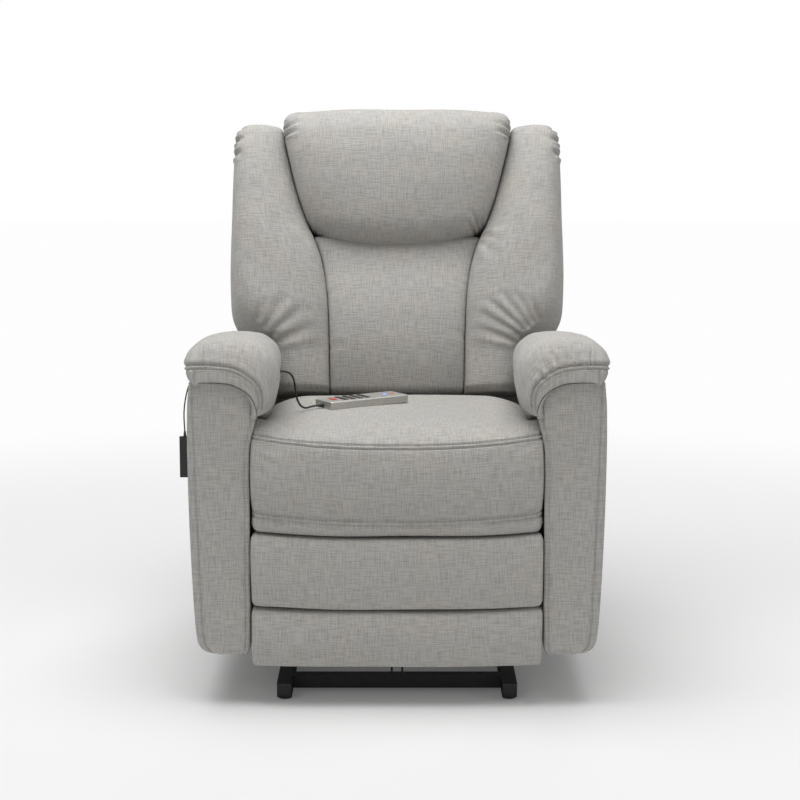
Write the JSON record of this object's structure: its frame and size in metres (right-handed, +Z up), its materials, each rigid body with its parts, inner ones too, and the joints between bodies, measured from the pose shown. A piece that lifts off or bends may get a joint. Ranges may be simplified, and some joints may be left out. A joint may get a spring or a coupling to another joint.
{
  "type": "lift recliner chair",
  "caption": "Upholstered powered lift recliner with winged back, rolled arms, folding footrest, tilting lift base and corded handset.",
  "frame": {"origin": "on the floor under the middle of the chair", "axes": "+Z up, -Y is the front, +X is the sitter's left side"},
  "size_m": [0.7999, 0.9002, 1.106],
  "materials": {
    "upholstery": "woven, matte",
    "black_steel": "satin powder coat",
    "zinc_steel": "zinc plated",
    "black_plastic": "fine texture",
    "plywood": "raw",
    "lining": "woven, matte",
    "cord_sheath": "satin",
    "handset_silver": "satin",
    "button_dark": "matte",
    "button_red": "matte",
    "lens_red": "clear gloss"
  },
  "bodies": {
    "base": {"base_side_rails": "black_steel", "base_cross_tubes": "black_steel", "base_glides": "black_plastic", "base_pivot_brackets": "black_steel", "base_pivot_pins": "zinc_steel"},
    "lift_arms": {"lift_frame": "black_steel"},
    "guide": {"guide_links": "black_steel"},
    "lift_motor": {"lift_actuator_housing": "black_plastic"},
    "lift_rod": {"lift_actuator_rod": "zinc_steel"},
    "chassis": {"chassis_side_plates": "black_steel", "chassis_cross_tubes": "black_steel", "chassis_pivot_pins": "zinc_steel", "seat_springs": "zinc_steel", "control_box": "black_plastic", "rear_panel": "lining", "power_inlet": "black_plastic", "seat_cushion": "upholstery", "arm_cover_right": "upholstery", "arm_cover_left": "upholstery", "arm_frames": "plywood", "arm_roll_right": "upholstery", "arm_roll_left": "upholstery", "cable_grommet": "black_plastic", "handset_cord": "cord_sheath", "tag_cord": "cord_sheath", "tag_ferrule": "black_plastic", "hang_tag": "black_plastic"},
    "backrest": {"lumbar_cushion": "upholstery", "head_pillow": "upholstery", "wing_right": "upholstery", "wing_left": "upholstery", "outer_back_cover": "upholstery", "back_frame": "plywood", "back_webbing": "lining", "back_hinge_brackets": "black_steel"},
    "back_motor": {"back_actuator_housing": "black_plastic"},
    "back_rod": {"back_actuator_rod": "zinc_steel"},
    "footrest_rear": {"footrest_rear_links": "black_steel", "footrest_drive_shaft": "black_steel"},
    "footrest_front": {"footrest_front_links": "black_steel"},
    "footrest": {"footrest_brackets": "black_steel", "footrest_board": "plywood", "footrest_upper_pad": "upholstery", "footrest_lower_pad": "upholstery"},
    "footrest_motor": {"footrest_actuator_housing": "black_plastic"},
    "footrest_rod": {"footrest_actuator_rod": "zinc_steel"},
    "handset": {"handset_top_shell": "handset_silver", "handset_back_shell": "handset_silver", "handset_strain_relief": "black_plastic", "handset_indicator_lenses": "lens_red"},
    "handset_button_1_body": {"handset_button_1": "button_dark"},
    "handset_button_2_body": {"handset_button_2": "button_dark"},
    "handset_button_3_body": {"handset_button_3": "button_dark"},
    "handset_button_4_body": {"handset_button_4": "button_dark"},
    "handset_button_5_body": {"handset_button_5": "button_dark"},
    "handset_button_6_body": {"handset_button_6": "button_dark"},
    "handset_button_7_body": {"handset_button_7": "button_dark"},
    "handset_button_8_body": {"handset_button_8": "button_dark"},
    "handset_stop_button_body": {"handset_stop_button": "button_red"}
  },
  "joints": [
    {"name": "lift", "type": "hinge", "parent": "base", "child": "lift_arms", "pos_m": [0, 0.24, 0.15], "axis": [-1, 0, 0], "range_deg": [0, 40]},
    {"name": "chassis_tilt", "type": "hinge", "parent": "lift_arms", "child": "chassis", "pos_m": [0, -0.178, 0.113], "axis": [1, 0, 0], "range_deg": [0, 65]},
    {"name": "guide_swing", "type": "hinge", "parent": "base", "child": "guide", "pos_m": [0, 0.06, 0.1717], "axis": [-1, 0, 0], "range_deg": [0, 44.67]},
    {"name": "back_recline", "type": "hinge", "parent": "chassis", "child": "backrest", "pos_m": [0, 0.15, 0.4], "axis": [-1, 0, 0], "range_deg": [0, 45]},
    {"name": "footrest_extend", "type": "hinge", "parent": "chassis", "child": "footrest_rear", "pos_m": [0, -0.37, 0.31], "axis": [-1, 0, 0], "range_deg": [0, 130]},
    {"name": "footrest_front_link", "type": "hinge", "parent": "footrest_rear", "child": "footrest_front", "pos_m": [0, -0.23211, 0.1943], "axis": [1, 0, 0], "range_deg": [0, 116.5]},
    {"name": "footrest_panel_turn", "type": "hinge", "parent": "footrest_front", "child": "footrest", "pos_m": [0, -0.36048, 0.22041], "axis": [-1, 0, 0], "range_deg": [0, 78.5]},
    {"name": "lift_actuator_swing", "type": "hinge", "parent": "base", "child": "lift_motor", "pos_m": [0, -0.33, 0.064], "axis": [-1, 0, 0], "range_deg": [0, 0.791]},
    {"name": "lift_actuator_stroke", "type": "slide", "parent": "lift_motor", "child": "lift_rod", "axis": [0, 0.9593, 0.2824], "range_m": [0, 0.05413]},
    {"name": "back_actuator_swing", "type": "hinge", "parent": "chassis", "child": "back_motor", "pos_m": [0.11, -0.29, 0.28], "axis": [1, 0, 0], "range_deg": [0, 1.06]},
    {"name": "back_actuator_stroke", "type": "slide", "parent": "back_motor", "child": "back_rod", "axis": [0, -0.9985, -0.0549], "range_m": [0, 0.07611]},
    {"name": "footrest_actuator_swing", "type": "hinge", "parent": "chassis", "child": "footrest_motor", "pos_m": [-0.11, 0.05, 0.284], "axis": [-1, 0, 0], "range_deg": [0, 0.59455]},
    {"name": "footrest_actuator_stroke", "type": "slide", "parent": "footrest_motor", "child": "footrest_rod", "axis": [0, -0.9999, 0.011], "range_m": [0, 0.08145]},
    {"name": "handset_lift_off", "type": "slide", "parent": "chassis", "child": "handset", "axis": [0, 0, 1], "range_m": [0, 0.06]},
    {"name": "handset_button_1_press", "type": "slide", "parent": "handset", "child": "handset_button_1_body", "axis": [0, 0, -1], "range_m": [0, 0.001], "stiffness_N_per_m": 250, "springref_m": -0.001},
    {"name": "handset_button_2_press", "type": "slide", "parent": "handset", "child": "handset_button_2_body", "axis": [0, 0, -1], "range_m": [0, 0.001], "stiffness_N_per_m": 250, "springref_m": -0.001},
    {"name": "handset_button_3_press", "type": "slide", "parent": "handset", "child": "handset_button_3_body", "axis": [0, 0, -1], "range_m": [0, 0.001], "stiffness_N_per_m": 250, "springref_m": -0.001},
    {"name": "handset_button_4_press", "type": "slide", "parent": "handset", "child": "handset_button_4_body", "axis": [0, 0, -1], "range_m": [0, 0.001], "stiffness_N_per_m": 250, "springref_m": -0.001},
    {"name": "handset_button_5_press", "type": "slide", "parent": "handset", "child": "handset_button_5_body", "axis": [0, 0, -1], "range_m": [0, 0.001], "stiffness_N_per_m": 250, "springref_m": -0.001},
    {"name": "handset_button_6_press", "type": "slide", "parent": "handset", "child": "handset_button_6_body", "axis": [0, 0, -1], "range_m": [0, 0.001], "stiffness_N_per_m": 250, "springref_m": -0.001},
    {"name": "handset_button_7_press", "type": "slide", "parent": "handset", "child": "handset_button_7_body", "axis": [0, 0, -1], "range_m": [0, 0.001], "stiffness_N_per_m": 250, "springref_m": -0.001},
    {"name": "handset_button_8_press", "type": "slide", "parent": "handset", "child": "handset_button_8_body", "axis": [0, 0, -1], "range_m": [0, 0.001], "stiffness_N_per_m": 250, "springref_m": -0.001},
    {"name": "handset_stop_button_press", "type": "slide", "parent": "handset", "child": "handset_stop_button_body", "axis": [0, 0, -1], "range_m": [0, 0.001], "stiffness_N_per_m": 250, "springref_m": -0.001}
  ],
  "couplings": [
    {"joint": "chassis_tilt", "follows": "lift", "ratio": 1.625},
    {"joint": "guide_swing", "follows": "lift", "ratio": 1.1167},
    {"joint": "footrest_front_link", "follows": "footrest_extend", "ratio": 0.89614},
    {"joint": "footrest_panel_turn", "follows": "footrest_extend", "ratio": 0.60384},
    {"joint": "lift_actuator_swing", "follows": "lift", "ratio": 0.019775},
    {"joint": "lift_actuator_stroke", "follows": "lift", "m_per_rad": 0.077535},
    {"joint": "back_actuator_swing", "follows": "back_recline", "ratio": 0.023659},
    {"joint": "back_actuator_stroke", "follows": "back_recline", "m_per_rad": 0.096903},
    {"joint": "footrest_actuator_swing", "follows": "footrest_extend", "ratio": 0.004573},
    {"joint": "footrest_actuator_stroke", "follows": "footrest_extend", "m_per_rad": 0.035898}
  ]
}
